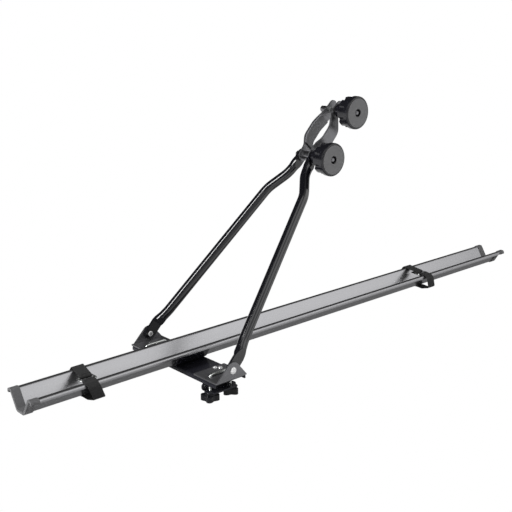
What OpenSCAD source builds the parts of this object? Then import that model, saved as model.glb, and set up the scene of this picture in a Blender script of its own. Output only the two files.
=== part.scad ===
// Roof bike carrier: a wheel rail on a folded base that clamps to a roof bar,
// with two arm tubes that meet at a pair of clamp jaws for the bike frame.
// X runs along the rail, -Y faces the near foot, +Z is up. The origin is the
// centre of the face that sits on the roof bar.

/* [Wheel rail] */
// Length of the rail
rail_length = 1400; // [1000:10:1700]
// How far the rail reaches past the base on the short side
rail_left = 360; // [280:5:420]
// Width over both lips
rail_width = 80; // [74:1:96]
// Width between the lips
rail_mouth = 59; // [52:1:62]
// Outer width of the rail's floor
rail_floor = 24; // [20:1:30]
// Height from the floor's underside to the top of the lips
rail_height = 33; // [28:1:40]
// Sheet thickness of the rail
rail_wall = 1.6; // [1.2:0.1:2]
// How far each lip curls down
lip_drop = 7; // [5:0.5:9]
// Length of rail that an end cap covers
cap_length = 14; // [10:1:30]
// Wall of an end cap
cap_wall = 1.6; // [1.2:0.1:2.2]
// Thickness of an end cap's rim across the rail's end
cap_rim = 3; // [2:0.5:5]

/* [Base] */
// Width of the base plate along the rail
plate_width = 76; // [70:1:90]
// Length of the base plate across the rail
plate_length = 270; // [240:2:320]
// Thickness of the base plate
plate_t = 3; // [2:0.5:4]
// Depth of the plate's folded side flanges, from its top
flange_depth = 8; // [6:0.5:12]
// Thickness of the saddle that holds the rail
saddle_t = 2; // [1.5:0.5:3]
// Height of the saddle's walls above its floor
saddle_height = 20; // [14:1:22]
// Thickness of a foot bracket
bracket_t = 3; // [2:0.5:4]
// Length of the leg of a foot bracket on the plate
bracket_leg = 66; // [60:1:80]
// Radius of the ear round its pivot
ear_radius = 16; // [14:0.5:18]

/* [Bar clamps] */
// Diameter of the U-bolt's rod
ubolt_rod = 6; // [5:1:8]
// Distance between the two legs of a U-bolt
ubolt_span = 50; // [46:1:56]
// Distance of each U-bolt from the end of the base
ubolt_inset = 33; // [28:1:40]
// Free gap between the base plate and a clamp bridge, as shown
bar_gap = 11; // [6.5:0.5:12]
// Height of a clamp bridge
bridge_height = 13; // [12:1:20]
// Radius of a wing knob over its lobes
wing_radius = 18; // [16:0.5:21]
// Height of a wing knob
wing_height = 15; // [14:1:22]

/* [Arm] */
// Angle of the arm above the rail
arm_angle = 47; // [40:1:60]
// Diameter of the arm tubes
tube_d = 21; // [18:0.5:25]
// Distance from the foot pivot to the lower clamp bolt, along the arm
arm_reach = 480; // [440:1:540]
// Distance from the bend to the lower clamp bolt, along the arm
arm_bend = 94; // [84:1:120]
// Half the distance between the tubes at the bend
bend_half = 54; // [48:1:60]
// Thickness of the flattened tube ends
flat_t = 5; // [4:0.5:6]
// Diameter of the pivot rivets
rivet_d = 8; // [6:0.5:9]

/* [Clamp head] */
// Distance between the two clamp bolts
bolt_pitch = 120; // [110:1:135]
// Diameter of the clamp bolts
bolt_d = 8; // [6:0.5:9]
// Width of a jaw band
jaw_width = 30; // [26:1:36]
// Thickness of a jaw band
jaw_t = 3; // [2:0.5:4]
// Thickness of the jaw's lining
pad_t = 3; // [2:0.5:4]
// Length of the spacer between the jaws' feet
spacer_length = 22; // [16:1:30]
// Gap between the jaws at their tips
tip_gap = 17; // [12:0.5:22]
// How far each jaw bows out past its foot
jaw_bow = 13.5; // [8:0.5:16]
// Diameter of the knob's cap
knob_d = 69; // [66:1:74]
// Diameter of the knob's fluted barrel
barrel_d = 64; // [58:1:65]
// Diameter of the knob's hub
hub_d = 30; // [26:1:38]
// Length of a clamp knob
knob_length = 52; // [48:1:60]
// Thickness of the knob's cap
knob_cap = 12; // [10:1:14]
// Length of the knob's hub
hub_length = 23; // [18:0.5:26]
// Number of grip flutes on a knob
knob_flutes = 8; // [6:1:12]

/* [Straps] */
// Width of the webbing
strap_width = 25; // [20:1:30]
// Thickness of the webbing
strap_t = 1.8; // [1.2:0.1:2.4]
// Diameter of the wire of a strap ring
ring_wire = 3; // [2.5:0.5:4]
// Place of the left strap along the rail
left_strap_x = -236; // [-300:1:-150]
// Place of the right strap along the rail
right_strap_x = 722; // [300:1:900]

/* [Hidden] */
$fn = 48;
near = -1;
far = 1;
face_gap = 0.2;       // between flat faces that move on each other
run_gap = 0.05;       // radial, between a shaft and its bore
slip = 0.5;           // radial, round a bolt that passes through
soft_gap = 0.3;       // between the webbing and what it lies on

// Heights
rail_z = plate_t + saddle_t;
lip_z = rail_z + rail_height;
leg_top = plate_t + bracket_t;

// Feet
ear_y = plate_length / 2;                   // outer face of an ear
tube_foot_y = ear_y - bracket_t - face_gap - flat_t / 2;
flat_end_r = 12.5;
pivot = [4.5, 0, leg_top + flat_end_r + 2];
ear_lean = 15;                              // foot of an ear's slopes past the circle

// Bar clamps
ubolt_y = ear_y - ubolt_inset;
bridge_z = -bar_gap - bridge_height;        // underside of the bridge's ledge
bridge_t = 3;
ledge = 24;
washer_t = 1.5;
wing_top = bridge_z - washer_t;
leg_end = wing_top - wing_height + 2;
crossbar_z = leg_top + ubolt_rod / 2;
bend_room = 2.5;                            // in the holes, for the U-bolt's bends
wing_nut_af = 10;
wing_nut_t = 5;

// Clamp head, in the arm's own frame: x along the arm, y as above
tube_r = tube_d / 2;
play = 0.9;                                 // beside the near jaw's foot, so that it can swing
near_jaw_y = -spacer_length / 2 - play - jaw_t;  // outer face of the near jaw's foot
far_jaw_y = spacer_length / 2 + jaw_t;      // outer face of the far jaw's foot
near_flat_y = near_jaw_y - play - flat_t / 2;
far_flat_y = far_jaw_y + face_gap + flat_t / 2;
tip_shift = 5.5;                            // of the jaws' tips towards the far side
near_tip_y = tip_shift - tip_gap / 2 - jaw_t;    // outer face of the near jaw's tip
far_tip_y = tip_shift + tip_gap / 2 + jaw_t;     // outer face of the far jaw's tip
head_washer_t = 2;
collar_t = 6;                               // of the collar under the upper knob
lower_knob_y = near_flat_y - flat_t / 2 - head_washer_t;
upper_knob_y = near_tip_y - face_gap - collar_t;
bush_t = 5;                                 // of the lower bolt's bush
upper_bush_t = 16;                          // of the upper bolt's bush
lower_head_y = far_flat_y + flat_t / 2 + bush_t;
upper_head_y = far_tip_y + upper_bush_t;
bolt_head_t = 5.5;
bolt_head_af = 13;
knob_nut_t = 7;
cover_d = knob_d - 9;
cover_t = 2;
cover_hole = 17;
bolt_end_depth = 1.5;                       // of a bolt's end behind the knob's face

// Shared geometry
function unit(v) = v / norm(v);
function left_of(d) = [-d[1], d[0]];
function turned(d, a) = [d[0] * cos(a) - d[1] * sin(a), d[0] * sin(a) + d[1] * cos(a)];

// Points and directions round one rounded corner of a line
function corner(a, b, c, r, n = 6) =
    let (d0 = unit(b - a), d1 = unit(c - b), turn = atan2(cross(d0, d1), d0 * d1),
         s = sign(turn), start = b - d0 * r * tan(abs(turn) / 2), centre = start + s * r * left_of(d0))
    [for (i = [0:n]) let (d = turned(d0, turn * i / n)) [centre - s * r * left_of(d), d]];

// Points and directions along a line with rounded corners
function rounded_line(p, r) =
    let (last = len(p) - 1)
    concat([[p[0], unit(p[1] - p[0])]],
           [for (i = [1:last - 1]) each corner(p[i - 1], p[i], p[i + 1], r[i - 1])],
           [[p[last], unit(p[last] - p[last - 1])]]);

// A bent strip of sheet, from offset a to offset b on the left of its line
module strip(p, r, a, b) {
    s = rounded_line(p, r);
    n = len(s) - 1;
    polygon(concat([for (i = [0:n]) s[i][0] + b * left_of(s[i][1])],
                   [for (i = [n:-1:0]) s[i][0] + a * left_of(s[i][1])]));
}

// Stands a Y-Z section up and draws it along X from x
module along_x(x, length) {
    translate([x, 0, 0]) rotate([90, 0, 90]) linear_extrude(length) children();
}

// Stands an X-Z outline up and draws it from y towards the far side
module along_y(y, length) {
    translate([0, y + length, 0]) rotate([90, 0, 0]) linear_extrude(length) children();
}

// A round bar along Y, from y towards the far side
module bar_y(y, length, r) {
    translate([0, y, 0]) rotate([-90, 0, 0]) cylinder(h = length, r = r);
}

// A hexagonal bar along Y, from y towards the far side
module hex_y(y, length, af) {
    translate([0, y, 0]) rotate([-90, 0, 0]) cylinder(h = length, d = af / cos(30), $fn = 6);
}

// Turns +Z to the direction d
module aim(d) {
    rotate([0, acos(d[2] / norm(d)), atan2(d[1], d[0])]) children();
}

// The round bend of a rod at p, from direction d0 to direction d1. A bend that is
// drawn thinner by step runs a little way into the straights on both sides.
module rod_bend(p, d0, d1, r, bend, step) {
    turn = acos(d0 * d1);
    into = sqrt(step / bend) * 180 / PI;
    inward = unit(d1 - d0 * (d0 * d1));
    c = p - d0 * bend * tan(turn / 2) + inward * bend;
    x = -inward;
    z = cross(x, d0);
    multmatrix([[x[0], d0[0], z[0], c[0]],
                [x[1], d0[1], z[1], c[1]],
                [x[2], d0[2], z[2], c[2]],
                [0, 0, 0, 1]])
        rotate(-into) rotate_extrude(angle = turn + 2 * into) translate([bend, 0]) circle(r - step);
}

// A round rod along a line of points, bent at each inner one
module rod(p, r, bend, step = 0) {
    last = len(p) - 1;
    cut = [for (i = [0:last]) i == 0 || i == last ? 0
           : bend * tan(acos(unit(p[i] - p[i - 1]) * unit(p[i + 1] - p[i])) / 2)];
    for (i = [0:last - 1]) {
        d = unit(p[i + 1] - p[i]);
        translate(p[i] + d * cut[i]) aim(d)
            cylinder(h = norm(p[i + 1] - p[i]) - cut[i] - cut[i + 1], r = r);
        if (i > 0) rod_bend(p[i], unit(p[i] - p[i - 1]), d, r, bend, step);
    }
}

// Wheel rail
rail_radii = [2.5, 2.5, 6, 6, 2.5, 2.5];
lip_half = rail_width / 2 - rail_wall;
mouth_half = rail_mouth / 2 + rail_wall;
floor_half = rail_floor / 2;

// The line of the sheet's underside, from lip to lip
rail_line = [
    [-lip_half, lip_z - lip_drop], [-lip_half, lip_z - rail_wall], [-mouth_half, lip_z - rail_wall],
    [-floor_half, rail_z], [floor_half, rail_z],
    [mouth_half, lip_z - rail_wall], [lip_half, lip_z - rail_wall], [lip_half, lip_z - lip_drop]
];

rail_bolt_x = 22;
rail_bolt_r = 3;

module wheel_rail() {
    color("gray")
        difference() {
            along_x(-rail_left, rail_length) strip(rail_line, rail_radii, 0, rail_wall);
            for (x = [-rail_bolt_x, rail_bolt_x])
                translate([x, 0, rail_z - 1]) cylinder(h = rail_wall + 2, r = rail_bolt_r);
        }
}

// An end cap sleeves the end of the rail, with a rim across the sheet's end
module end_cap(x, out) {
    sleeve_x = out < 0 ? x : x - cap_length;
    color("dimgray") {
        along_x(sleeve_x, cap_length) {
            strip(rail_line, rail_radii, -cap_wall, 0);
            strip(rail_line, rail_radii, rail_wall, rail_wall + cap_wall);
        }
        along_x(out < 0 ? x - cap_rim : x, cap_rim)
            strip(rail_line, rail_radii, -cap_wall, rail_wall + cap_wall);
    }
}

module left_end_cap() {
    end_cap(-rail_left, -1);
}

module right_end_cap() {
    end_cap(rail_length - rail_left, 1);
}

// The saddle follows the rail's floor and walls
wall_slope = (mouth_half - floor_half) / (rail_height - rail_wall);

module rail_saddle() {
    reach = wall_slope * saddle_height;
    line = [[-floor_half - reach, rail_z + saddle_height], [-floor_half, rail_z],
            [floor_half, rail_z], [floor_half + reach, rail_z + saddle_height]];
    color([0.12, 0.12, 0.13])
        difference() {
            along_x(-plate_width / 2, plate_width) strip(line, [6, 6], -saddle_t, 0);
            for (x = [-rail_bolt_x, rail_bolt_x])
                translate([x, 0, 0]) cylinder(h = rail_z + 1, r = rail_bolt_r);
        }
}

// Two screws hold the rail and the saddle on the base, and end in its threads
module rail_bolts() {
    head_r = 6;
    head_t = 2.2;
    color("silver")
        for (x = [-rail_bolt_x, rail_bolt_x]) translate([x, 0, 0]) {
            translate([0, 0, rail_z + rail_wall]) cylinder(h = head_t, r1 = head_r, r2 = head_r - 1.5);
            translate([0, 0, face_gap]) cylinder(h = rail_z + rail_wall, r = rail_bolt_r);
        }
}

// Base plate, folded down along both sides
leg_rivets = [[11, ear_y - 61], [18, ear_y - 53.5]];
leg_rivet_r = 2.5;

module plate_holes(z, depth) {
    for (side = [near, far]) {
        for (end = [-1, 1]) translate([end * ubolt_span / 2, side * ubolt_y, z]) linear_extrude(depth) {
            circle(ubolt_rod / 2);
            translate([-end * bend_room, 0]) circle(ubolt_rod / 2);
            translate([-end * bend_room / 2, 0]) square([bend_room, ubolt_rod], center = true);
        }
        for (p = leg_rivets) translate([p[0], side * p[1], z]) cylinder(h = depth, r = leg_rivet_r);
    }
}

module base_plate() {
    half = plate_width / 2;
    line = [[-half, plate_t - flange_depth], [-half, plate_t], [half, plate_t], [half, plate_t - flange_depth]];
    color([0.25, 0.25, 0.28])
        difference() {
            rotate([90, 0, 0]) linear_extrude(plate_length - 2 * bracket_t, center = true)
                strip(line, [4, 4], -plate_t, 0);
            plate_holes(-1, plate_t + 2);
            for (x = [-rail_bolt_x, rail_bolt_x])
                translate([x, 0, -1]) cylinder(h = plate_t + 2, r = rail_bolt_r);
        }
}

// Foot bracket: a leg on the plate and an ear that holds the pivot
function tangent_from(p, c, r, side) =
    let (d = c - p, l = norm(d))
    p + unit(turned(d, side * asin(r / l))) * sqrt(l * l - r * r);

module ear_outline() {
    half = plate_width / 2;
    c = [pivot[0], pivot[2]];
    corner_cut = 2.2;
    rim = ear_radius - 0.1;         // the slopes run a little into the circle
    left = [-half + 2 * corner_cut, plate_t + corner_cut];
    right = [half, plate_t + corner_cut];
    polygon([[-half + 2 * corner_cut, plate_t], left, tangent_from(left, c, rim, 1), c,
             tangent_from(right, c, rim, -1), right, [half - corner_cut, plate_t]]);
    translate(c) circle(ear_radius);
}

module foot_bracket(side) {
    half = plate_width / 2;
    outer = side * ear_y;
    inner = side * (ear_y - bracket_t);
    color([0.45, 0.45, 0.47])
        difference() {
            union() {
                along_y(min(outer, inner), bracket_t) ear_outline();
                translate([-half, min(outer, side * (ear_y - bracket_leg)), plate_t])
                    cube([plate_width, bracket_leg, bracket_t]);
            }
            plate_holes(plate_t - 1, bracket_t + 2);
            translate([pivot[0], 0, pivot[2]]) bar_y(min(outer, inner) - 1, bracket_t + 2, rivet_d / 2);
        }
}

module near_foot_bracket() {
    foot_bracket(near);
}

module far_foot_bracket() {
    foot_bracket(far);
}

// Two domed rivets hold each leg on the plate
module leg_rivet_pair(side) {
    head_r = 4.5;
    head_t = 2;
    color("silver")
        for (p = leg_rivets) translate([p[0], side * p[1], 0]) {
            translate([0, 0, face_gap]) cylinder(h = leg_top, r = leg_rivet_r);
            translate([0, 0, leg_top]) rotate_extrude()
                polygon([[0, 0], [head_r, 0], [head_r - 0.6, head_t * 0.6], [head_r / 2, head_t], [0, head_t]]);
        }
}

module near_leg_rivets() {
    leg_rivet_pair(near);
}

module far_leg_rivets() {
    leg_rivet_pair(far);
}

// A tubular rivet: a domed head outside the ear and a rolled end inboard
module pivot_rivet(side) {
    head_r = 7;
    head_t = 3;
    roll_r = 5.5;
    roll_t = 1.6;
    bore_r = 2.4;
    bore_depth = 9;
    inboard = ear_y - bracket_t - flat_t - 2 * face_gap;
    color("white")
        translate([pivot[0], 0, pivot[2]]) rotate([side * -90, 0, 0])
            difference() {
                rotate_extrude() polygon([
                    [0, inboard - roll_t], [roll_r - 0.8, inboard - roll_t], [roll_r, inboard - roll_t / 2],
                    [roll_r, inboard], [rivet_d / 2, inboard], [rivet_d / 2, ear_y], [head_r, ear_y],
                    [head_r, ear_y + 1], [head_r - 1.2, ear_y + head_t - 0.6], [head_r / 2, ear_y + head_t],
                    [0, ear_y + head_t]]);
                translate([0, 0, inboard - roll_t - 1]) cylinder(h = bore_depth, r = bore_r);
            }
}

module near_pivot_rivet() {
    pivot_rivet(near);
}

module far_pivot_rivet() {
    pivot_rivet(far);
}

// U-bolt over the plate, legs down through it
module u_bolt(side) {
    x = ubolt_span / 2;
    color("silver")
        translate([0, side * ubolt_y, 0])
            rod([[-x, 0, leg_end], [-x, 0, crossbar_z], [x, 0, crossbar_z], [x, 0, leg_end]],
                ubolt_rod / 2, ubolt_rod + 1);
}

module near_u_bolt() {
    u_bolt(near);
}

module far_u_bolt() {
    u_bolt(far);
}

// Clamp bridge: a folded angle under the bar, its ledge outboard
module clamp_bridge(side) {
    half = ubolt_span / 2 + 13;
    round_r = 9;
    wall_y = side * (ubolt_y - 7);
    ledge_end = side * (ubolt_y - 7 + ledge);
    color([0.3, 0.3, 0.32])
        difference() {
            union() {
                along_y(min(wall_y, wall_y - side * bridge_t), bridge_t) {
                    translate([-half, bridge_z + round_r]) square([2 * half, bridge_height - round_r]);
                    translate([-half + round_r, bridge_z]) square([2 * (half - round_r), bridge_height]);
                    for (e = [-1, 1]) translate([e * (half - round_r), bridge_z + round_r]) circle(round_r);
                }
                translate([-half + round_r, min(wall_y - side * bridge_t, ledge_end), bridge_z])
                    cube([2 * (half - round_r), ledge + bridge_t, bridge_t]);
                for (x = [-ubolt_span / 2, ubolt_span / 2])
                    translate([x, side * ubolt_y, bridge_z]) cylinder(h = bridge_t, r = 11);
            }
            for (x = [-ubolt_span / 2, ubolt_span / 2])
                translate([x, side * ubolt_y, bridge_z - 1])
                    cylinder(h = bridge_height + 2, r = ubolt_rod / 2 + run_gap);
        }
}

module near_clamp_bridge() {
    clamp_bridge(near);
}

module far_clamp_bridge() {
    clamp_bridge(far);
}

module clamp_washers(side) {
    color("silver")
        for (x = [-ubolt_span / 2, ubolt_span / 2])
            translate([x, side * ubolt_y, wing_top])
                difference() {
                    cylinder(h = washer_t, r = 9);
                    translate([0, 0, -1]) cylinder(h = washer_t + 2, r = ubolt_rod / 2 + slip);
                }
}

module near_clamp_washers() {
    clamp_washers(near);
}

module far_clamp_washers() {
    clamp_washers(far);
}

// Wing knob with four lobes and a nut let into its top
module wing_knob(side, end, turn) {
    lobe = 3;
    core = wing_radius - lobe;
    steps = 72;
    color([0.1, 0.1, 0.11])
        translate([end * ubolt_span / 2, side * ubolt_y, wing_top - wing_height])
            difference() {
                union() {
                    rotate(turn) linear_extrude(wing_height - 4)
                        polygon([for (i = [0:steps - 1]) let (a = 360 * i / steps)
                                 (core + lobe * cos(4 * a)) * [cos(a), sin(a)]]);
                    translate([0, 0, wing_height / 2]) cylinder(h = wing_height / 2, r = core - lobe - 1);
                }
                translate([0, 0, 2]) cylinder(h = wing_height, r = ubolt_rod / 2 + slip);
                translate([0, 0, wing_height - wing_nut_t])
                    cylinder(h = wing_nut_t + 1, d = wing_nut_af / cos(30), $fn = 6);
            }
}

module near_left_wing_knob() {
    wing_knob(near, -1, 45);
}

module near_right_wing_knob() {
    wing_knob(near, 1, 12);
}

module far_left_wing_knob() {
    wing_knob(far, -1, 30);
}

module far_right_wing_knob() {
    wing_knob(far, 1, 60);
}

module wing_nut(side, end) {
    color("silver")
        translate([end * ubolt_span / 2, side * ubolt_y, wing_top - wing_nut_t])
            difference() {
                cylinder(h = wing_nut_t, d = wing_nut_af / cos(30), $fn = 6);
                translate([0, 0, -1]) cylinder(h = wing_nut_t + 2, r = ubolt_rod / 2 + run_gap);
            }
}

module near_left_wing_nut() {
    wing_nut(near, -1);
}

module near_right_wing_nut() {
    wing_nut(near, 1);
}

module far_left_wing_nut() {
    wing_nut(far, -1);
}

module far_right_wing_nut() {
    wing_nut(far, 1);
}

// The arm's own frame: x along the arm from the foot pivot
module on_arm() {
    translate(pivot) rotate([0, -arm_angle, 0]) children();
}

// The clamp head's frame: x along the arm from the lower clamp bolt
module on_head() {
    on_arm() translate([arm_reach, 0, 0]) children();
}

// Arm tube, flattened at both ends
flat_start = 26;       // from the pivot
foot_round = 60;
head_round = 48;       // from the lower bolt
head_flat = 14;
head_splay = 6;        // of the tubes past their flats, where they are round
press_length = 20;
arm_bend_r = 60;
bend_step = 0.05;

// The pressed stretch from the edge of a flat end at a to the round tube at b
module pressed(a, b) {
    before = 3;
    into = 1;
    u = unit(b - a);
    side = (tube_r + 1) * left_of([u[0], u[1]]);
    a2 = [a[0], a[1]];
    b2 = [b[0], b[1]] + 2 * into * [u[0], u[1]];
    e = [0, flat_t / 2] * sign(u[0]);
    intersection() {
        translate(a - u * before) aim(u)
            cylinder(h = norm(b - a) + before + into,
                     r1 = norm([flat_end_r, flat_t / 2]) + 0.4, r2 = tube_r - 2 * bend_step);
        translate([0, 0, -2 * flat_end_r]) linear_extrude(4 * flat_end_r)
            polygon([a2 + e, a2 - e, b2 - side, b2 + side]);
    }
}

// A flat end: a round at x and the stretch that runs from it to x + run
module flat_end(x, run, y) {
    translate([x, 0, 0]) bar_y(y - flat_t / 2, flat_t, flat_end_r);
    translate([min(x, x + run), y - flat_t / 2, -flat_end_r]) cube([abs(run), flat_t, 2 * flat_end_r]);
}

module arm_tube(side, flat_y) {
    foot_y = side * tube_foot_y;
    bend_x = arm_reach - arm_bend;
    slope = (tube_foot_y - bend_half) / bend_x;
    foot = [flat_start, foot_y, 0];
    low = [foot_round, side * (tube_foot_y - slope * foot_round), 0];
    mid = [bend_x, side * bend_half, 0];
    high = [arm_reach - head_round, flat_y + side * head_splay, 0];
    head = [arm_reach - head_flat, flat_y, 0];
    foot_press = foot + press_length * unit(low - foot);
    head_press = head + press_length * unit(high - head);
    color([0.05, 0.05, 0.06])
        on_arm() difference() {
            union() {
                rod([foot_press, low, mid, high, head_press], tube_r, arm_bend_r, bend_step);
                pressed(foot, foot_press);
                pressed(head, head_press);
                flat_end(0, flat_start, foot_y);
                flat_end(arm_reach, -head_flat, flat_y);
            }
            bar_y(foot_y - flat_t, 2 * flat_t, rivet_d / 2 + run_gap);
            translate([arm_reach, 0, 0]) bar_y(flat_y - flat_t, 2 * flat_t, bolt_d / 2);
        }
}

module near_arm_tube() {
    arm_tube(near, near_flat_y);
}

module far_arm_tube() {
    arm_tube(far, far_flat_y);
}

module jaw_spacer() {
    color("silver")
        on_head() difference() {
            bar_y(-spacer_length / 2, spacer_length, 9);
            bar_y(-spacer_length, 2 * spacer_length, bolt_d / 2 + run_gap);
        }
}

// Clamp bolts, heads on the far side
module clamp_bolt(head_y, end_y) {
    color("silver") {
        hex_y(head_y, bolt_head_t, bolt_head_af);
        bar_y(end_y, head_y - end_y, bolt_d / 2);
    }
}

module lower_clamp_bolt() {
    on_head() clamp_bolt(lower_head_y, lower_knob_y - knob_length + bolt_end_depth);
}

module upper_clamp_bolt() {
    on_head() translate([bolt_pitch, 0, 0])
        clamp_bolt(upper_head_y, upper_knob_y - knob_length + bolt_end_depth);
}

// The nut that holds the upper bolt in the far jaw
module upper_jaw_nut() {
    nut_t = 6.5;
    color("silver")
        on_head() translate([bolt_pitch, 0, 0]) difference() {
            hex_y(far_tip_y - jaw_t - nut_t, nut_t, bolt_head_af);
            bar_y(far_tip_y - jaw_t - nut_t - 1, nut_t + 2, bolt_d / 2);
        }
}

module bolt_ring(y, length, r_out, r_in) {
    color("silver")
        difference() {
            bar_y(y, length, r_out);
            bar_y(y - 1, length + 2, r_in);
        }
}

module lower_bolt_bush() {
    on_head() bolt_ring(lower_head_y - bush_t, bush_t, 9, bolt_d / 2);
}

module upper_bolt_bush() {
    on_head() translate([bolt_pitch, 0, 0])
        bolt_ring(far_tip_y, upper_bush_t, 7, bolt_d / 2);
}

module lower_knob_washer() {
    on_head() bolt_ring(lower_knob_y, head_washer_t, 12, bolt_d / 2 + run_gap);
}

module upper_knob_washer() {
    on_head() translate([bolt_pitch, 0, 0])
        bolt_ring(upper_knob_y, collar_t, 7, bolt_d / 2 + run_gap);
}

// Jaws: bent bands with round ends, bowed apart in the middle
tip_reach = 23;
foot_reach = 13;
tip_r = 11;
land = 9;              // of a jaw's flat stretch before the upper bolt
deep = 60;             // reach of a cut on each side of the head's middle

function jaw_line(side, foot, tip, bow) = [
    [-foot_reach, foot], [16, foot], [40, foot + side * bow], [74, foot + side * bow],
    [bolt_pitch - land, tip], [bolt_pitch + tip_reach, tip]
];
jaw_radii = [16, 30, 40, 14];

module jaw_outline() {
    half = jaw_width / 2;
    end = bolt_pitch + tip_reach - tip_r;
    polygon([[0, -foot_reach], [30, -half], [bolt_pitch - 34, -half], [end, -tip_r],
             [end, tip_r], [bolt_pitch - 34, half], [30, half], [0, foot_reach]]);
    circle(foot_reach);
    translate([end, 0]) circle(tip_r);
}

module jaw_band(side, foot, tip, bow, a, b) {
    intersection() {
        translate([0, 0, -jaw_width]) linear_extrude(2 * jaw_width)
            strip(jaw_line(side, foot, tip, bow), jaw_radii, a, b);
        along_y(-deep, 2 * deep) jaw_outline();
    }
}

module far_jaw() {
    color([0.12, 0.12, 0.13])
        on_head() difference() {
            jaw_band(far, far_jaw_y, far_tip_y, jaw_bow, -jaw_t, 0);
            bar_y(-deep, 2 * deep, bolt_d / 2 + run_gap);
            translate([bolt_pitch, 0, 0]) bar_y(-deep, 2 * deep, bolt_d / 2);
        }
}

module near_jaw() {
    slot = 2.5;
    color([0.12, 0.12, 0.13])
        on_head() difference() {
            jaw_band(near, near_jaw_y, near_tip_y, jaw_bow, 0, jaw_t);
            bar_y(-deep, deep, bolt_d / 2 + slip);
            translate([bolt_pitch, 0, 0]) {
                bar_y(-deep, deep, bolt_d / 2 + slip);
                translate([slot, 0, 0]) bar_y(-deep, deep, bolt_d / 2 + slip);
                translate([0, -deep, -bolt_d / 2 - slip]) cube([slot, deep, bolt_d + 2 * slip]);
            }
        }
}

module lining_band() {
    from = 24;
    intersection() {
        children();
        translate([from, -deep, -jaw_width / 2 + 1.5])
            cube([bolt_pitch - 2 * from, 2 * deep, jaw_width - 3]);
    }
}

module far_jaw_lining() {
    color([0.2, 0.2, 0.21])
        on_head() lining_band() jaw_band(far, far_jaw_y, far_tip_y, jaw_bow, -jaw_t - pad_t, -jaw_t);
}

module near_jaw_lining() {
    color([0.2, 0.2, 0.21])
        on_head() lining_band() jaw_band(near, near_jaw_y, near_tip_y, jaw_bow, jaw_t, jaw_t + pad_t);
}

// Clamp knob: a fluted barrel and a wide cap, with a nut and a cover let in
module knob_at(x, y) {
    on_head() translate([x, y, 0]) rotate([90, 0, 0]) children();
}

module knob_body() {
    barrel = knob_length - knob_cap - hub_length;
    flute_r = 6;
    flute_depth = 4;
    edge = 4;
    rim = [for (a = [0:18:90]) [knob_d / 2 - edge + edge * cos(a), knob_cap - edge + edge * sin(a)]];
    color([0.1, 0.1, 0.11])
        difference() {
            union() {
                cylinder(h = hub_length, d = hub_d);
                translate([0, 0, hub_length]) linear_extrude(barrel) difference() {
                    circle(d = barrel_d);
                    for (i = [0:knob_flutes - 1])
                        rotate(360 * (i + 0.5) / knob_flutes)
                            translate([barrel_d / 2 + flute_r - flute_depth, 0]) circle(flute_r);
                }
                translate([0, 0, hub_length + barrel]) rotate_extrude()
                    polygon(concat([[0, 0], [knob_d / 2 - 1, 0], [knob_d / 2, 1]], rim, [[0, knob_cap]]));
            }
            translate([0, 0, -1]) cylinder(h = knob_length, r = bolt_d / 2 + slip);
            translate([0, 0, -1]) cylinder(h = knob_nut_t + 1, d = bolt_head_af / cos(30), $fn = 6);
            translate([0, 0, knob_length - knob_cap / 2]) cylinder(h = knob_cap, d = cover_hole);
            translate([0, 0, knob_length - cover_t]) cylinder(h = cover_t + 1, d = cover_d);
        }
}

module knob_nut() {
    color("silver")
        difference() {
            cylinder(h = knob_nut_t, d = bolt_head_af / cos(30), $fn = 6);
            translate([0, 0, -1]) cylinder(h = knob_nut_t + 2, r = bolt_d / 2 + run_gap);
        }
}

module knob_cover() {
    color([0.55, 0.55, 0.56])
        translate([0, 0, knob_length - cover_t]) difference() {
            cylinder(h = cover_t, d = cover_d);
            translate([0, 0, -1]) cylinder(h = cover_t + 2, d = cover_hole);
        }
}

module lower_clamp_knob() {
    knob_at(0, lower_knob_y) knob_body();
}

module lower_knob_nut() {
    knob_at(0, lower_knob_y) knob_nut();
}

module lower_knob_cover() {
    knob_at(0, lower_knob_y) knob_cover();
}

module upper_clamp_knob() {
    knob_at(bolt_pitch, upper_knob_y) knob_body();
}

module upper_knob_nut() {
    knob_at(bolt_pitch, upper_knob_y) knob_nut();
}

module upper_knob_cover() {
    knob_at(bolt_pitch, upper_knob_y) knob_cover();
}

// Straps: a loop of webbing round the rail, joined by a wire ring
ring_y = [-21, -5];
loop_r = ring_wire / 2 + soft_gap + strap_t / 2;
ring_z = lip_z + soft_gap + strap_t / 2 - loop_r;

module strap(x) {
    side_y = rail_width / 2 + 10;
    low_z = rail_z - 4.5;
    tuck = ring_z - loop_r;
    top = ring_z + loop_r;
    line = [
        [ring_y[1] + 16, tuck], [ring_y[1] - loop_r, tuck], [ring_y[1] - loop_r, top],
        [rail_width / 2 + 2, top], [side_y + 2, lip_z - 8], [side_y - 2, rail_z + 9],
        [rail_floor / 2 + 20, low_z], [-rail_floor / 2 - 20, low_z], [-side_y + 2, rail_z + 9],
        [-side_y - 2, lip_z - 8], [-rail_width / 2 - 2, top],
        [ring_y[0] + loop_r, top], [ring_y[0] + loop_r, tuck], [5.5 - mouth_half, tuck]
    ];
    radii = [loop_r, loop_r, 6, 8, 8, 10, 10, 8, 8, 6, loop_r, loop_r];
    color([0.15, 0.15, 0.16])
        along_x(x - strap_width / 2, strap_width) strip(line, radii, -strap_t / 2, strap_t / 2);
}

module left_strap() {
    strap(left_strap_x);
}

module right_strap() {
    strap(right_strap_x);
}

module strap_ring(x) {
    half = strap_width / 2 + ring_wire;
    mid = (ring_y[0] + ring_y[1]) / 2;
    color("silver")
        rod([[x, ring_y[1], ring_z], [x - half, ring_y[1], ring_z], [x - half, ring_y[0], ring_z],
             [x + half, ring_y[0], ring_z], [x + half, ring_y[1], ring_z], [x, ring_y[1], ring_z]],
            ring_wire / 2, ring_wire);
}

module left_strap_ring() {
    strap_ring(left_strap_x);
}

module right_strap_ring() {
    strap_ring(right_strap_x);
}

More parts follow.
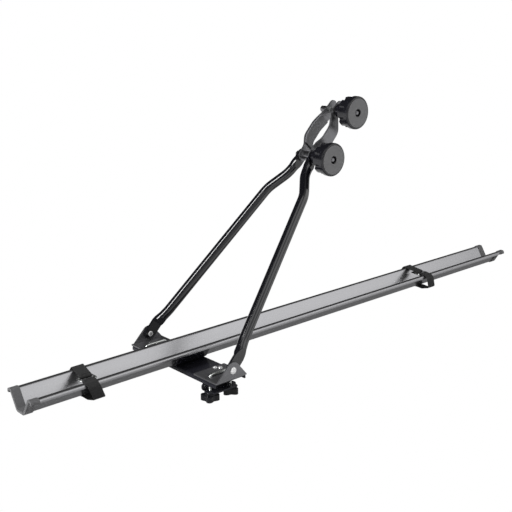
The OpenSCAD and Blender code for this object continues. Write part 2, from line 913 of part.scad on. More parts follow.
wheel_rail();
left_end_cap();
right_end_cap();
rail_saddle();
rail_bolts();
base_plate();
near_foot_bracket();
far_foot_bracket();
near_pivot_rivet();
far_pivot_rivet();
near_leg_rivets();
far_leg_rivets();
near_u_bolt();
far_u_bolt();
near_clamp_bridge();
far_clamp_bridge();
near_clamp_washers();
far_clamp_washers();
near_left_wing_knob();
near_right_wing_knob();
far_left_wing_knob();
far_right_wing_knob();
near_left_wing_nut();
near_right_wing_nut();
far_left_wing_nut();
far_right_wing_nut();
near_arm_tube();
far_arm_tube();
jaw_spacer();
lower_clamp_bolt();
lower_bolt_bush();
upper_bolt_bush();
lower_knob_washer();
lower_clamp_knob();
lower_knob_nut();
lower_knob_cover();
far_jaw();
far_jaw_lining();
near_jaw();
near_jaw_lining();
upper_clamp_bolt();
upper_jaw_nut();
upper_knob_washer();
upper_clamp_knob();
upper_knob_nut();
upper_knob_cover();
left_strap();
right_strap();
left_strap_ring();
right_strap_ring();
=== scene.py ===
"""A roof bike carrier, dressed for a still: finishes, threads, webbing straps and a plain studio."""

import math

import bmesh
import bpy
from mathutils import Euler, Matrix, Vector


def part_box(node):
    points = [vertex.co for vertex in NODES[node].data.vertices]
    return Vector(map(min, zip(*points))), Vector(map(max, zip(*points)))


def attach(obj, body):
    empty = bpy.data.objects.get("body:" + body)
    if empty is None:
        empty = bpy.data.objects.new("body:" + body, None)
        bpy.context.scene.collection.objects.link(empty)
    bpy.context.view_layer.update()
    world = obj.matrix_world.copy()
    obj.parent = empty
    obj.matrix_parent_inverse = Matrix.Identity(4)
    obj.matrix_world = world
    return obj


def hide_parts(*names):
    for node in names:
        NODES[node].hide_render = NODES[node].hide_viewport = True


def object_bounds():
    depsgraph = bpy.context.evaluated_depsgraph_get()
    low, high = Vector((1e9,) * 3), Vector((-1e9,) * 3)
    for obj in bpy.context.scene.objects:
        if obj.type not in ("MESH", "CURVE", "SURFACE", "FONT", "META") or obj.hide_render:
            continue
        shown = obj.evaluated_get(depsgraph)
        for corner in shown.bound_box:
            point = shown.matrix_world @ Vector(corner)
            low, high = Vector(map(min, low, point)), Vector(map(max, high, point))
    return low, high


bl_info = {
    "name": "Roof bike carrier",
    "version": (1, 0, 0),
    "blender": (4, 5, 0),
    "location": "View3D > Sidebar > Carrier",
    "description": "Dresses the roof bike carrier and sets its studio",
    "category": "Object",
}

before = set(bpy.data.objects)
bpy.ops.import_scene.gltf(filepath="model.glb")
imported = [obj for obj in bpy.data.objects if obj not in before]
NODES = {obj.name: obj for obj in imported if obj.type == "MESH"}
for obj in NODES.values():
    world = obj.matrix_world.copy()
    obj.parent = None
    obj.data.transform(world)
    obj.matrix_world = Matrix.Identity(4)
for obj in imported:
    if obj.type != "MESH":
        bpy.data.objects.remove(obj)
CAD_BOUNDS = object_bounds()
MM = 0.001


# Settings


class CarrierCamera(bpy.types.PropertyGroup):
    place: bpy.props.FloatVectorProperty(
        name="Place", description="Where the camera stands", default=(-1.0294, -1.3358, 0.6957), subtype="XYZ"
    )
    azimuth: bpy.props.FloatProperty(
        name="Azimuth",
        description="Turn about Z from looking along +Y",
        default=math.radians(-42.27),
        subtype="ANGLE",
    )
    elevation: bpy.props.FloatProperty(
        name="Elevation", description="Tilt down from level", default=math.radians(15.94), subtype="ANGLE"
    )
    lens: bpy.props.FloatProperty(name="Lens", description="Focal length in millimetres", default=64.25)


class CarrierFinish(bpy.types.PropertyGroup):
    rail_grey: bpy.props.FloatVectorProperty(
        name="Rail grey", description="Paint of the wheel rail", default=(0.4, 0.4, 0.412), subtype="COLOR"
    )
    plate_black: bpy.props.FloatVectorProperty(
        name="Plate black",
        description="Paint of the base and clamps",
        default=(0.022, 0.022, 0.03),
        subtype="COLOR",
    )
    # On the feet this grey is painted sheen over black paint
    jaw_grey_and_foot_sheen: bpy.props.FloatVectorProperty(
        name="Jaw grey",
        description="Satin paint of the jaws and feet",
        default=(0.2, 0.2, 0.21),
        subtype="COLOR",
    )
    tube_black: bpy.props.FloatVectorProperty(
        name="Tube black",
        description="Gloss paint of the arm tubes",
        default=(0.006, 0.006, 0.008),
        subtype="COLOR",
    )
    cover_grey: bpy.props.FloatVectorProperty(
        name="Cover grey",
        description="Covers on the clamp knobs",
        default=(0.18, 0.18, 0.184),
        subtype="COLOR",
    )
    webbing_black: bpy.props.FloatVectorProperty(
        name="Webbing black",
        description="Yarn of the straps",
        default=(0.009, 0.009, 0.0095),
        subtype="COLOR",
    )


class CarrierThread(bpy.types.PropertyGroup):
    fine_pitch: bpy.props.FloatProperty(
        name="U-bolt pitch", description="Pitch of the U-bolts' thread", default=1.0 * MM, unit="LENGTH"
    )
    coarse_pitch: bpy.props.FloatProperty(
        name="Clamp bolt pitch",
        description="Pitch of the clamp bolts' thread",
        default=1.25 * MM,
        unit="LENGTH",
    )
    sides: bpy.props.IntProperty(name="Sides", description="Sides of a round rod", default=24, min=8)


class CarrierStrap(bpy.types.PropertyGroup):
    thickness: bpy.props.FloatProperty(
        name="Thickness", description="Thickness of the webbing", default=1.8 * MM, unit="LENGTH"
    )
    ribs: bpy.props.IntProperty(name="Ribs", description="Woven ribs across the webbing", default=10, min=2)
    rib_depth: bpy.props.FloatProperty(
        name="Rib depth", description="Height of a woven rib", default=0.12 * MM, unit="LENGTH"
    )
    stitch_length: bpy.props.FloatProperty(
        name="Stitch length", description="Length of one stitch", default=2.2 * MM, unit="LENGTH"
    )


class CarrierStudio(bpy.types.PropertyGroup):
    key: bpy.props.FloatProperty(
        name="Key lamp",
        description="Power of the front right softbox",
        default=15.0,
        unit="POWER",
    )
    rim: bpy.props.FloatProperty(
        name="Left strip",
        description="Power of the strip lamp on the left",
        default=90.0,
        unit="POWER",
    )
    top: bpy.props.FloatProperty(
        name="Top lamp",
        description="Power of the lamp above the camera",
        default=5.0,
        unit="POWER",
    )
    fill: bpy.props.FloatProperty(name="Fill", description="Strength of the world's light", default=0.26)


# Shader maths


class Signal:
    """One value in a material. Sums and products of signals add the nodes that work them out."""

    def __init__(self, paint, socket):
        self.paint = paint
        self.socket = socket

    def _math(self, operation, first, second=None):
        return self.paint.node("ShaderNodeMath", {"operation": operation}, {0: first, 1: second})

    def __add__(self, other):
        return self._math("ADD", self, other)

    __radd__ = __add__

    def __sub__(self, other):
        return self._math("SUBTRACT", self, other)

    def __rsub__(self, other):
        return self._math("SUBTRACT", other, self)

    def __mul__(self, other):
        return self._math("MULTIPLY", self, other)

    __rmul__ = __mul__

    def __abs__(self):
        return self._math("ABSOLUTE", self)


class Paint:
    """A material or world under the brush: its main surface node and the nodes that feed it."""

    def __init__(self, name="", world=None):
        self.material = world or bpy.data.materials.new(name)
        self.material.use_nodes = True
        self.tree = self.material.node_tree
        self.surface = self.tree.nodes["Background" if world else "Principled BSDF"]

    def node(self, kind, settings=None, inputs=None, output=0):
        """Adds a node. Settings come first, then a value or a signal for each named socket."""
        made = self.tree.nodes.new(kind)
        for key, value in (settings or {}).items():
            setattr(made, key, value)
        for key, value in (inputs or {}).items():
            if value is not None:
                self.feed(made.inputs[key], value)
        return Signal(self, made.outputs[output])

    def feed(self, socket, value):
        """Links a signal to a socket, or sets a plain value on it."""
        if isinstance(value, Signal):
            self.tree.links.new(value.socket, socket)
        elif socket.type == "RGBA":
            socket.default_value = (*value, 1)
        else:
            socket.default_value = value

    def set(self, **inputs):
        """Feeds the surface's sockets by name and gives back the material."""
        for key, value in inputs.items():
            self.feed(self.surface.inputs[key.replace("_", " ")], value)
        return self.material

    def place(self, scale=(1, 1, 1)):
        """The point on the piece, in metres, stretched by scale."""
        where = self.node("ShaderNodeTexCoord", output=3)
        return self.node("ShaderNodeMapping", None, {"Vector": where, "Scale": scale})

    def pick(self, signal, output):
        """Another output of the node that a signal comes from."""
        return Signal(self, signal.socket.node.outputs[output])

    def span(self, value, low, high, first, second):
        """Runs smoothly from first to second while value goes from low to high."""
        return self.node(
            "ShaderNodeMapRange", {"interpolation_type": "SMOOTHSTEP"},
            {0: value, 1: low, 2: high, 3: first, 4: second},
        )

    def noise(self, scale, detail=3.0, stretch=(1, 1, 1), rough=0.55):
        """Soft noise with scale cells to the metre."""
        return self.node(
            "ShaderNodeTexNoise", None,
            {"Vector": self.place(stretch), "Scale": scale, "Detail": detail, "Roughness": rough},
        )

    def blend(self, factor, first, second):
        """A colour between first and second."""
        return self.node(
            "ShaderNodeMix", {"data_type": "RGBA"}, {"Factor": factor, 6: first, 7: second}, output=2
        )

    def bump(self, height, strength, distance):
        """Turns a height signal into relief, distance metres deep."""
        relief = {"Height": height, "Strength": strength, "Distance": distance}
        return self.node("ShaderNodeBump", None, relief)


def tint(color, share):
    """A colour made lighter or darker by a share."""
    return tuple(min(1.0, channel * share) for channel in color)


# Finishes


def rail_paint(finish):
    """Grey metallic powder coat with a fine grain and faint rolling lines along the rail."""
    paint = Paint("rail_paint")
    grain = paint.noise(1400, 2)
    lines = paint.noise(60, 2, (0.02, 1, 1))
    cloud = paint.noise(9, 2)
    shade = 0.35 * grain + 0.35 * lines + 0.3 * cloud
    color = paint.blend(shade, tint(finish.rail_grey, 0.88), tint(finish.rail_grey, 1.12))
    return paint.set(
        Base_Color=color, Metallic=0.94, Roughness=0.24 + 0.08 * grain,
        Normal=paint.bump(0.7 * grain + 0.3 * lines, 0.25, 0.0001),
    )


def plate_paint(finish):
    """Dark satin paint over folded sheet, a little uneven."""
    paint = Paint("plate_paint")
    grain = paint.noise(900, 3)
    cloud = paint.noise(14, 2)
    color = paint.blend(cloud, tint(finish.plate_black, 0.85), tint(finish.plate_black, 1.15))
    return paint.set(
        Base_Color=color, Metallic=0.35, Roughness=0.2 + 0.1 * cloud, Coat_Weight=0.15,
        Normal=paint.bump(grain, 0.18, 0.0001),
    )


def bracket_paint(finish):
    """Grey satin metallic paint of the feet and jaws. On the feet the grey is painted sheen, standing in for
    light on black paint.
    """
    paint = Paint("bracket_paint")
    grain = paint.noise(900, 3)
    cloud = paint.noise(20, 2)
    # Painted sheen: the grey base lightens the feet as light on black paint would
    color = paint.blend(cloud, tint(finish.jaw_grey_and_foot_sheen, 0.85), tint(finish.jaw_grey_and_foot_sheen, 1.15))
    return paint.set(
        Base_Color=color, Metallic=0.8, Roughness=0.3 + 0.1 * cloud,
        Normal=paint.bump(grain, 0.2, 0.0001),
    )


def dark_zinc(finish):
    """Black zinc plating of the clamp bolts and their nuts."""
    paint = Paint("dark_zinc")
    cloud = paint.noise(160, 3)
    color = paint.blend(cloud, (0.13, 0.13, 0.14), (0.3, 0.3, 0.31))
    return paint.set(Base_Color=color, Metallic=1.0, Roughness=0.25 + 0.15 * cloud)


def tube_paint(finish):
    """Black gloss enamel with a faint orange peel."""
    paint = Paint("tube_paint")
    peel = paint.noise(120, 2)
    return paint.set(
        Base_Color=finish.tube_black, Roughness=0.14 + 0.05 * peel, Coat_Weight=0.6,
        Normal=paint.bump(peel, 0.1, 0.00002),
    )


def knob_plastic(finish):
    """Black moulded plastic with a soft gloss."""
    paint = Paint("knob_plastic")
    grain = paint.noise(1100, 2)
    return paint.set(
        Base_Color=tint(finish.tube_black, 1.4), Roughness=0.16 + 0.1 * grain,
        Normal=paint.bump(grain, 0.12, 0.0001),
    )


def cover_plastic(finish):
    """Matt grey plastic of the knobs' covers."""
    paint = Paint("cover_plastic")
    grain = paint.noise(1500, 2)
    cloud = paint.noise(40, 2)
    color = paint.blend(cloud, tint(finish.cover_grey, 0.93), tint(finish.cover_grey, 1.07))
    return paint.set(Base_Color=color, Roughness=0.42 + 0.12 * grain, Normal=paint.bump(grain, 0.2, 0.0001))


def cap_plastic(finish):
    """Dark grey plastic of the rail's end caps."""
    paint = Paint("cap_plastic")
    grain = paint.noise(1200, 3)
    color = paint.blend(grain, tint(finish.rail_grey, 0.24), tint(finish.rail_grey, 0.36))
    return paint.set(Base_Color=color, Roughness=0.38 + 0.16 * grain, Normal=paint.bump(grain, 0.25, 0.0001))


def lining_rubber(finish):
    """Smooth grey rubber inside the jaws."""
    paint = Paint("lining_rubber")
    grain = paint.noise(700, 3)
    return paint.set(
        Base_Color=tint(finish.jaw_grey_and_foot_sheen, 0.8), Roughness=0.34 + 0.1 * grain,
        Normal=paint.bump(grain, 0.3, 0.0002),
    )


def zinc(finish):
    """Bright zinc plating, slightly cloudy."""
    paint = Paint("zinc")
    cloud = paint.noise(130, 3)
    color = paint.blend(cloud, (0.62, 0.64, 0.62), (0.84, 0.86, 0.84))
    return paint.set(Base_Color=color, Metallic=1.0, Roughness=0.2 + 0.2 * cloud)


def rivet_metal(finish):
    """Bright turned metal of the pivot rivets."""
    paint = Paint("rivet_metal")
    cloud = paint.noise(300, 2)
    color = paint.blend(cloud, (0.88, 0.88, 0.88), (0.95, 0.95, 0.95))
    return paint.set(Base_Color=color, Metallic=0.6, Roughness=0.3 + 0.1 * cloud)


def webbing(finish):
    """Black polyester webbing. The piece's UV map runs across the band in U and along it in V, in metres."""
    paint = Paint("webbing")
    uv = paint.node("ShaderNodeTexCoord", output=2)
    yarn = {"bands_direction": "Y", "wave_profile": "SIN"}
    waves = {"Vector": uv, "Scale": 260.0, "Distortion": 1.2, "Detail": 1.0}
    weft = paint.node("ShaderNodeTexWave", yarn, waves)
    fuzz = paint.noise(2200, 2)
    shade = 0.6 * weft + 0.4 * fuzz
    color = paint.blend(shade, tint(finish.webbing_black, 0.6), tint(finish.webbing_black, 1.7))
    paint.surface.inputs["Sheen Weight"].default_value = 0.06
    paint.surface.inputs["Sheen Roughness"].default_value = 0.5
    return paint.set(
        Base_Color=color, Roughness=0.62 + 0.2 * fuzz, Normal=paint.bump(shade, 0.5, 0.00025),
    )


def stitch_thread(finish):
    """Black sewing thread."""
    paint = Paint("stitch_thread")
    fuzz = paint.noise(3000, 2)
    color = paint.blend(fuzz, tint(finish.webbing_black, 1.2), tint(finish.webbing_black, 2.4))
    return paint.set(Base_Color=color, Roughness=0.5 + 0.2 * fuzz)


# The nodes that each finish goes on. All others are bright zinc
FINISHES = {
    rail_paint: ["wheel_rail"],
    cap_plastic: ["left_end_cap", "right_end_cap"],
    plate_paint: ["rail_saddle", "base_plate", "near_clamp_bridge", "far_clamp_bridge"],
    bracket_paint: ["near_foot_bracket", "far_foot_bracket", "far_jaw", "near_jaw"],
    tube_paint: ["near_arm_tube", "far_arm_tube"],
    lining_rubber: ["near_jaw_lining", "far_jaw_lining"],
    knob_plastic: [
        "lower_clamp_knob", "upper_clamp_knob", "near_left_wing_knob", "near_right_wing_knob",
        "far_left_wing_knob", "far_right_wing_knob",
    ],
    cover_plastic: ["lower_knob_cover", "upper_knob_cover"],
    rivet_metal: ["near_pivot_rivet", "far_pivot_rivet", "near_leg_rivets", "far_leg_rivets"],
    dark_zinc: [
        "jaw_spacer", "lower_bolt_bush", "upper_bolt_bush", "near_clamp_washers", "far_clamp_washers",
        "lower_knob_washer", "upper_knob_washer",
    ],
}


# Meshes


def mesh_piece(name, bm, material, smooth=True):
    """Turns a bmesh into an object with one material."""
    bmesh.ops.recalc_face_normals(bm, faces=bm.faces)
    mesh = bpy.data.meshes.new(name)
    bm.to_mesh(mesh)
    bm.free()
    mesh.polygons.foreach_set("use_smooth", [smooth] * len(mesh.polygons))
    mesh.materials.append(material)
    piece = bpy.data.objects.new(name, mesh)
    bpy.context.scene.collection.objects.link(piece)
    return piece


def ring(centre, side, up, radii):
    """A closed ring of points round centre, one for each radius."""
    count = len(radii)
    turns = [math.tau * i / count for i in range(count)]
    return [centre + r * (math.cos(a) * side + math.sin(a) * up) for r, a in zip(radii, turns)]


def skin(bm, rings):
    """Faces between rings of points, with both ends closed."""
    rows = [[bm.verts.new(point) for point in points] for points in rings]
    count = len(rows[0])
    for first, second in zip(rows, rows[1:]):
        for i in range(count):
            j = (i + 1) % count
            bm.faces.new((first[i], first[j], second[j], second[i]))
    bm.faces.new(rows[0][::-1])
    bm.faces.new(rows[-1])
    return rows


THREAD_DEPTH = 0.6       # of the pitch
CREST_SLOPE = 1.25       # over 1 it leaves a flat crest
ROWS_PER_PITCH = 6


def thread_radii(sides, radius, pitch, along):
    """The radii round a rod at one place along its thread. Crests keep the rod's own radius."""
    depth = THREAD_DEPTH * pitch
    radii = []
    for i in range(sides):
        phase = (along / pitch - i / sides) % 1
        crest = min(1, CREST_SLOPE * abs(2 * phase - 1))
        radii.append(min(radius - depth * (1 - crest), radius - depth + along))
    return radii


def thread_rows(start, stop, pitch):
    """Places along a thread, close enough together to show its turns."""
    steps = max(1, round((stop - start) / (pitch / ROWS_PER_PITCH)))
    return [start + (stop - start) * i / steps for i in range(steps + 1)]


def rounded_path(points, radii, step, corner_steps=6):
    """Points along a line in the Y-Z plane with rounded corners, no further apart than step."""
    made = [Vector(points[0])]
    for before, at, after, radius in zip(points, points[1:], points[2:], radii):
        before, at, after = Vector(before), Vector(at), Vector(after)
        back, ahead = (before - at).normalized(), (after - at).normalized()
        half = back.angle(ahead) / 2
        reach = radius / math.tan(half)
        middle = at + (back + ahead).normalized() * radius / math.sin(half)
        first, last = at + back * reach, at + ahead * reach
        for i in range(corner_steps + 1):
            mix = first.lerp(last, i / corner_steps) - middle
            made.append(middle + mix.normalized() * radius)
    made.append(Vector(points[-1]))
    fine = [made[0]]
    for a, b in zip(made, made[1:]):
        count = max(1, math.ceil((b - a).length / step))
        fine += [a.lerp(b, i / count) for i in range(1, count + 1)]
    return [p for i, p in enumerate(fine) if i == 0 or (p - fine[i - 1]).length > 1e-6]


# Operators


class CARRIER_OT_finishes(bpy.types.Operator):
    """Give every carried-over piece its material"""

    bl_idname = "carrier.finishes"
    bl_label = "Finishes"

    def execute(self, context):
        finish = context.scene.carrier_finish
        plain = zinc(finish)
        for node in NODES.values():
            self.dress(node, plain)
        for make, names in FINISHES.items():
            material = make(finish)
            for name in names:
                self.dress(NODES[name], material)
        return {"FINISHED"}

    def dress(self, node, material):
        """Gives a piece one material."""
        node.data.materials.clear()
        node.data.materials.append(material)


class CARRIER_OT_u_bolts(bpy.types.Operator):
    """Make the U-bolts with real threads on their legs"""

    bl_idname = "carrier.u_bolts"
    bl_label = "U-bolts"

    THREADED = 30 * MM   # of each leg, from its end
    ROD = 3 * MM         # radius of the rod
    BEND = 7 * MM        # radius of a bend's middle line
    STRAIGHT = 0.01      # most sideways part of a leg's direction

    def execute(self, context):
        thread = context.scene.carrier_thread
        material = zinc(context.scene.carrier_finish)
        for side in ("near", "far"):
            node = side + "_u_bolt"
            low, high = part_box(node)
            piece = self.u_bolt(node + "_threaded", low, high, thread, material)
            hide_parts(node)
            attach(piece, "rail_and_base")
        return {"FINISHED"}

    def u_bolt(self, name, low, high, thread, material):
        """A bent rod that fills the box of its node, threaded at both ends."""
        rod = self.ROD
        y = (low.y + high.y) / 2
        top = high.z - rod
        left, right = low.x + rod, high.x - rod
        corners = [(left, low.z), (left, top), (right, top), (right, low.z)]
        turns = thread_rows(low.z, low.z + self.THREADED, thread.fine_pitch)
        path = [Vector((left, z)) for z in turns]
        path += rounded_path(corners, [self.BEND] * 2, 0.05, 8)[1:-1]
        path += [Vector((right, z)) for z in reversed(turns)]
        rings = []
        for i, point in enumerate(path):
            way = (path[min(i + 1, len(path) - 1)] - path[max(i - 1, 0)]).normalized()
            side = Vector((way.y, 0, -way.x))
            height = point.y - low.z
            if height < self.THREADED and abs(way.x) < self.STRAIGHT:
                radii = thread_radii(thread.sides, rod, thread.fine_pitch, height)
            else:
                radii = [rod] * thread.sides
            rings.append(ring(Vector((point.x, y, point.y)), side, Vector((0, 1, 0)), radii))
        bm = bmesh.new()
        skin(bm, rings)
        return mesh_piece(name, bm, material)


class CARRIER_OT_clamp_bolts(bpy.types.Operator):
    """Make the two clamp bolts with real threads and chamfered heads"""

    bl_idname = "carrier.clamp_bolts"
    bl_label = "Clamp bolts"

    HEAD = 5.5 * MM      # thickness of the head
    ROD = 4 * MM         # radius of the rod
    FLATS = 13 * MM      # across the head's flats
    ARM = math.radians(47)
    SIDES = 24           # of the head's outline, four to a flat
    # Height on the head and the share of its corner radius left by the chamfer
    CHAMFER = ((0, 1), (0.78, 1), (0.92, 0.95), (1, 0.88))

    def execute(self, context):
        thread = context.scene.carrier_thread
        material = dark_zinc(context.scene.carrier_finish)
        for node, body in (("lower_clamp_bolt", "arm"), ("upper_clamp_bolt", "clamp_head")):
            low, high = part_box(node)
            piece = self.bolt(node + "_threaded", low, high, thread, material)
            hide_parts(node)
            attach(piece, body)
        return {"FINISHED"}

    def bolt(self, name, low, high, thread, material):
        """A threaded rod along Y with its head on the far side, the head's corners in line with the arm."""
        middle = (low + high) / 2
        side, up = Vector((1, 0, 0)), Vector((0, 0, 1))
        head_side = Vector((math.cos(self.ARM), 0, math.sin(self.ARM)))
        head_up = Vector((-math.sin(self.ARM), 0, math.cos(self.ARM)))
        neck = high.y - self.HEAD
        rings = []
        for y in thread_rows(low.y, neck, thread.coarse_pitch):
            centre = Vector((middle.x, y, middle.z))
            radii = thread_radii(thread.sides, self.ROD, thread.coarse_pitch, y - low.y)
            rings.append(ring(centre, side, up, radii))
        bm = bmesh.new()
        skin(bm, rings)
        corner = self.FLATS / 2 / math.cos(math.pi / 6)
        flats = [self.FLATS / 2 / math.cos((i % 4 - 2) * math.pi / 12) for i in range(self.SIDES)]
        rows = []
        for along, most in self.CHAMFER:
            centre = Vector((middle.x, neck + self.HEAD * along, middle.z))
            rows.append(ring(centre, head_side, head_up, [min(r, corner * most) for r in flats]))
        skin(bm, rows)
        return mesh_piece(name, bm, material, False)


class CARRIER_OT_straps(bpy.types.Operator):
    """Make the webbing straps as one woven band each, with its hems and stitches"""

    bl_idname = "carrier.straps"
    bl_label = "Straps"

    # The band's line in the Y-Z plane, in millimetres, from the far hem to the near hem
    LINE = [
        (11, 33.8), (-7.7, 33.8), (-7.7, 39.2), (20, 39.4), (43, 40), (48, 31), (44, 12), (28, 1),
        (12, 3.3), (-12, 3.0), (-24, 0.8), (-44, 6), (-47, 33), (-41, 39.2), (-18.3, 39.2), (-18.3, 33.8),
        (-25.6, 33.8),
    ]
    RADII = [2.65, 2.65, 60, 6, 8, 10, 9, 8, 8, 6, 6, 5, 2, 2.65, 2.65]
    STEP = 2.5           # the farthest apart that points on the line are
    RIB_STEPS = 3
    EDGE_TURNS = (0.8, 1.571, 2.34)
    # Slant of the band over the rail, from the middle of its ring, and its shift at the foot of the near side
    RING_Y = -13
    LIP_Z = 39
    SLANT = 0.25
    FOOT_SHIFT = 8
    FOOT_REACH = 40
    # Y and Z of the rows of stitches beside the ring
    STITCH_ROWS = ((-2.2, 40.25), (1.2, 40.25), (-24.0, 40.2), (-27.4, 40.2))
    STITCH_GAP = 1.3     # pitch of the stitches, in stitch lengths
    YARN = 0.45 * MM
    SELVEDGE = 3 * MM    # left free of stitches, both edges together

    def execute(self, context):
        strap = context.scene.carrier_strap
        finish = context.scene.carrier_finish
        band, yarn = webbing(finish), stitch_thread(finish)
        path = rounded_path(self.LINE, self.RADII, self.STEP)
        for node in ("left_strap", "right_strap"):
            low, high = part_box(node)
            width = high.x - low.x
            x = (low.x + high.x) / 2
            piece = self.band(node + "_webbing", path, x, width, strap, band)
            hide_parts(node)
            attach(piece, "rail_and_base")
            stitches = self.stitches(node + "_stitches", x, width, strap, yarn)
            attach(stitches, "rail_and_base")
        return {"FINISHED"}

    def skew(self, y, z):
        """How far along the rail the band's middle has moved where it lies aslant."""
        high = z / self.LIP_Z
        foot = self.FOOT_SHIFT * min(1, max(0, -y / self.FOOT_REACH))
        return self.SLANT * (y - self.RING_Y) * high + foot * (1 - high)

    def section(self, width, strap):
        """The band's outline across its width: ribs on both faces and round edges."""
        half, edge = width / 2, strap.thickness / 2
        across = []
        steps = strap.ribs * self.RIB_STEPS
        for i in range(steps + 1):
            u = -half + edge + (width - 2 * edge) * i / steps
            rib = 0.5 - 0.5 * math.cos(math.tau * i / self.RIB_STEPS)
            across.append((u, edge - strap.rib_depth * rib))
        right = [(half - edge * (1 - math.sin(a)), edge * math.cos(a)) for a in self.EDGE_TURNS]
        return across + right + [(u, -v) for u, v in reversed(across)] + [(-u, -v) for u, v in right]

    def band(self, name, path, x, width, strap, material):
        """The webbing swept along its line. Its UV map holds metres across and along it."""
        section = self.section(width, strap)
        rings, lengths, run = [], [], 0.0
        for i, point in enumerate(path):
            way = (path[min(i + 1, len(path) - 1)] - path[max(i - 1, 0)]).normalized()
            run += (point - path[i - 1]).length if i else 0
            lengths.append(run * MM)
            out = Vector((0, -way.y, way.x))
            centre = Vector((x + self.skew(point.x, point.y) * MM, point.x * MM, point.y * MM))
            rings.append([centre + Vector((u, 0, 0)) + out * v for u, v in section])
        bm = bmesh.new()
        rows = skin(bm, rings)
        layer = bm.loops.layers.uv.new("UVMap")
        place = {}
        for row, length in zip(rows, lengths):
            for vert, (u, v) in zip(row, section):
                place[vert] = (u, length)
        for face in bm.faces:
            for loop in face.loops:
                loop[layer].uv = place[loop.vert]
        return mesh_piece(name, bm, material)

    def stitches(self, name, x, width, strap, material):
        """Rows of stitches across the band, laid by Geometry Nodes and then made a mesh."""
        group = self.stitch_nodes()
        pitch = strap.stitch_length * self.STITCH_GAP
        count = int((width - self.SELVEDGE) / pitch)
        values = {
            "Count": count, "Pitch": pitch, "Length": strap.stitch_length, "Thickness": self.YARN,
            "Material": material,
        }
        inputs = [item for item in group.interface.items_tree if item.in_out == "INPUT"]
        sockets = {item.name: item.identifier for item in inputs}
        holder = bpy.data.objects.new("stitch_row", bpy.data.meshes.new("stitch_row"))
        bpy.context.scene.collection.objects.link(holder)
        modifier = holder.modifiers.new("stitches", "NODES")
        modifier.node_group = group
        for key, value in values.items():
            modifier[sockets[key]] = value
        graph = bpy.context.evaluated_depsgraph_get()
        row = bpy.data.meshes.new_from_object(holder.evaluated_get(graph))
        bpy.data.objects.remove(holder)
        bm = bmesh.new()
        for y, z in self.STITCH_ROWS:
            start = x + self.skew(y, z) * MM - pitch * (count - 1) / 2
            copy = row.copy()
            copy.transform(Matrix.Translation((start, y * MM, z * MM)))
            bm.from_mesh(copy)
        return mesh_piece(name, bm, material)

    def stitch_nodes(self):
        """The node group that lays one row of stitches along X."""
        group = bpy.data.node_groups.new("stitches", "GeometryNodeTree")
        face = group.interface
        face.new_socket("Geometry", in_out="OUTPUT", socket_type="NodeSocketGeometry")
        face.new_socket("Count", in_out="INPUT", socket_type="NodeSocketInt")
        for name in ("Pitch", "Length", "Thickness"):
            face.new_socket(name, in_out="INPUT", socket_type="NodeSocketFloat")
        face.new_socket("Material", in_out="INPUT", socket_type="NodeSocketMaterial")
        nodes, links = group.nodes, group.links
        given = nodes.new("NodeGroupInput")
        offset = nodes.new("ShaderNodeCombineXYZ")
        line = nodes.new("GeometryNodeMeshLine")
        stitch = nodes.new("GeometryNodeMeshCylinder")
        stitch.inputs["Vertices"].default_value = 8
        lay = nodes.new("GeometryNodeInstanceOnPoints")
        lay.inputs["Rotation"].default_value = (0, math.pi / 2, 0)
        real = nodes.new("GeometryNodeRealizeInstances")
        paint = nodes.new("GeometryNodeSetMaterial")
        made = nodes.new("NodeGroupOutput")
        for source, target in (
            (given.outputs["Pitch"], offset.inputs["X"]),
            (given.outputs["Count"], line.inputs["Count"]),
            (offset.outputs["Vector"], line.inputs["Offset"]),
            (given.outputs["Thickness"], stitch.inputs["Radius"]),
            (given.outputs["Length"], stitch.inputs["Depth"]),
            (line.outputs["Mesh"], lay.inputs["Points"]),
            (stitch.outputs["Mesh"], lay.inputs["Instance"]),
            (lay.outputs["Instances"], real.inputs["Geometry"]),
            (real.outputs["Geometry"], paint.inputs["Geometry"]),
            (given.outputs["Material"], paint.inputs["Material"]),
            (paint.outputs["Geometry"], made.inputs["Geometry"]),
        ):
            links.new(source, target)
        return group


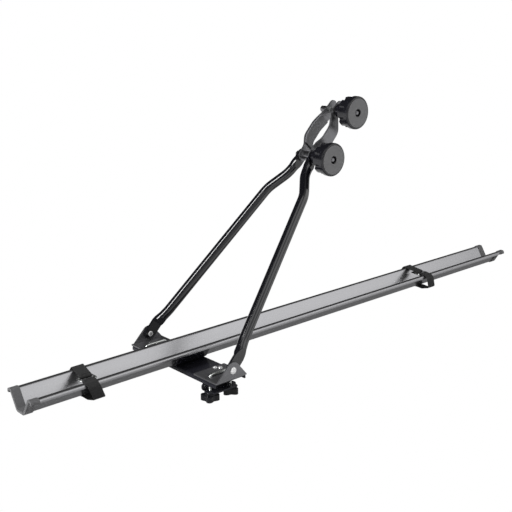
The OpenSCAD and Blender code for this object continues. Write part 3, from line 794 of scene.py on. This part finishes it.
class CARRIER_OT_stage(bpy.types.Operator):
    """Set the floor, the lamps, the world and the camera"""

    bl_idname = "carrier.stage"
    bl_label = "Studio"

    def execute(self, context):
        studio = context.scene.carrier_studio
        self.camera(context)
        self.floor()
        self.world(context, studio.fill)
        self.lamp("key_lamp", studio.key, size=(3.0, 1.9), place=(1.7, -1.9, 1.6), target=(-0.1, 0, 0.0))
        self.lamp("left_strip", studio.rim, size=(0.5, 3.0), place=(-2.3, 0.2, 1.5), target=(0.2, 0, 0.3))
        self.lamp("top_lamp", studio.top, size=(1.2, 1.2), place=(-0.6, -0.9, 2.2), target=(0.3, 0, 0.1))
        context.scene.view_settings.view_transform = "Standard"
        return {"FINISHED"}

    def camera(self, context):
        """The photo's own camera."""
        view = context.scene.carrier_camera
        data = bpy.data.cameras.new("camera")
        data.lens = view.lens
        data.sensor_width = 36
        camera = bpy.data.objects.new("camera", data)
        camera.location = view.place
        camera.rotation_euler = Euler((math.pi / 2 - view.elevation, 0, view.azimuth))
        context.scene.collection.objects.link(camera)
        context.scene.camera = camera

    FLOOR_SIZE = 30
    FLOOR_GAP = 0.0005

    def floor(self):
        """A wide plane just under the part."""
        low, _ = CAD_BOUNDS
        bm = bmesh.new()
        bmesh.ops.create_grid(bm, x_segments=1, y_segments=1, size=self.FLOOR_SIZE)
        bmesh.ops.translate(bm, verts=bm.verts, vec=(0, 0, low.z - self.FLOOR_GAP))
        mesh_piece("floor", bm, self.floor_paint(), False)

    def floor_paint(self):
        """White to the camera. In reflections it is white too, but painted shadow darkens it close to the
        rail.
        """
        paint = Paint("floor_paint")
        paint.set(Base_Color=(0.8, 0.8, 0.8), Roughness=0.9)
        path = paint.node("ShaderNodeLightPath")
        glossy = paint.pick(path, "Is Glossy Ray")
        split = paint.node("ShaderNodeSeparateXYZ", None, {0: paint.place()})
        off = abs(paint.pick(split, "Y"))
        # Painted shadow: in reflections the floor is darker near the rail, standing in for the part's shadow
        # on it
        level = paint.span(off, 0.04, 0.4, 0.24, 1.0)
        glow = {"Color": (1, 1, 1), "Strength": path + glossy * level}
        white = paint.node("ShaderNodeEmission", None, glow)
        mix = paint.node("ShaderNodeMixShader", None, {0: path + glossy})
        tree = paint.tree
        tree.links.new(paint.surface.outputs[0], mix.socket.node.inputs[1])
        tree.links.new(white.socket, mix.socket.node.inputs[2])
        tree.links.new(mix.socket, tree.nodes["Material Output"].inputs["Surface"])
        return paint.material

    def world(self, context, strength):
        """White to the camera. Reflections see a dim room that is lighter towards the front right."""
        paint = Paint(world=bpy.data.worlds.new("studio"))
        path = paint.node("ShaderNodeLightPath")
        glossy = paint.pick(path, "Is Glossy Ray")
        way = paint.node("ShaderNodeTexCoord")
        split = paint.node("ShaderNodeSeparateXYZ", None, {0: way})
        front = paint.pick(split, "X") * 0.45 - paint.pick(split, "Y") * 0.9
        room = paint.span(front, -0.1, 0.8, 0.015, 0.55)
        level = path + (1 - path) * (glossy * room + (1 - glossy) * strength)
        paint.feed(paint.surface.inputs["Color"], (1, 1, 1))
        paint.feed(paint.surface.inputs["Strength"], level)
        context.scene.world = paint.material

    def lamp(self, name, power, size, place, target):
        """A rectangular lamp that faces its target."""
        data = bpy.data.lights.new(name, "AREA")
        data.energy = power
        data.shape = "RECTANGLE"
        data.size, data.size_y = size
        lamp = bpy.data.objects.new(name, data)
        lamp.location = place
        lamp.rotation_euler = (Vector(target) - Vector(place)).to_track_quat("-Z", "Y").to_euler()
        bpy.context.scene.collection.objects.link(lamp)


class CARRIER_PT_panel(bpy.types.Panel):
    """Lists the carrier's steps"""

    bl_label = "Roof bike carrier"
    bl_space_type = "VIEW_3D"
    bl_region_type = "UI"
    bl_category = "Carrier"

    def draw(self, context):
        for step in STEPS:
            self.layout.operator(step.bl_idname)


SETTINGS = {
    "carrier_camera": CarrierCamera,
    "carrier_finish": CarrierFinish,
    "carrier_thread": CarrierThread,
    "carrier_strap": CarrierStrap,
    "carrier_studio": CarrierStudio,
}
STEPS = (
    CARRIER_OT_finishes, CARRIER_OT_u_bolts, CARRIER_OT_clamp_bolts, CARRIER_OT_straps, CARRIER_OT_stage,
)


def register():
    """Makes the settings, the operators and the panel known."""
    for name, group in SETTINGS.items():
        bpy.utils.register_class(group)
        setattr(bpy.types.Scene, name, bpy.props.PointerProperty(type=group))
    for step in STEPS:
        bpy.utils.register_class(step)
    bpy.utils.register_class(CARRIER_PT_panel)


def unregister():
    """Takes them away again."""
    bpy.utils.unregister_class(CARRIER_PT_panel)
    for step in reversed(STEPS):
        bpy.utils.unregister_class(step)
    for name, group in reversed(SETTINGS.items()):
        delattr(bpy.types.Scene, name)
        bpy.utils.unregister_class(group)


def main():
    """Runs every step in order."""
    register()
    for step in STEPS:
        group, action = step.bl_idname.split(".")
        getattr(getattr(bpy.ops, group), action)()


if __name__ == "__main__":
    main()
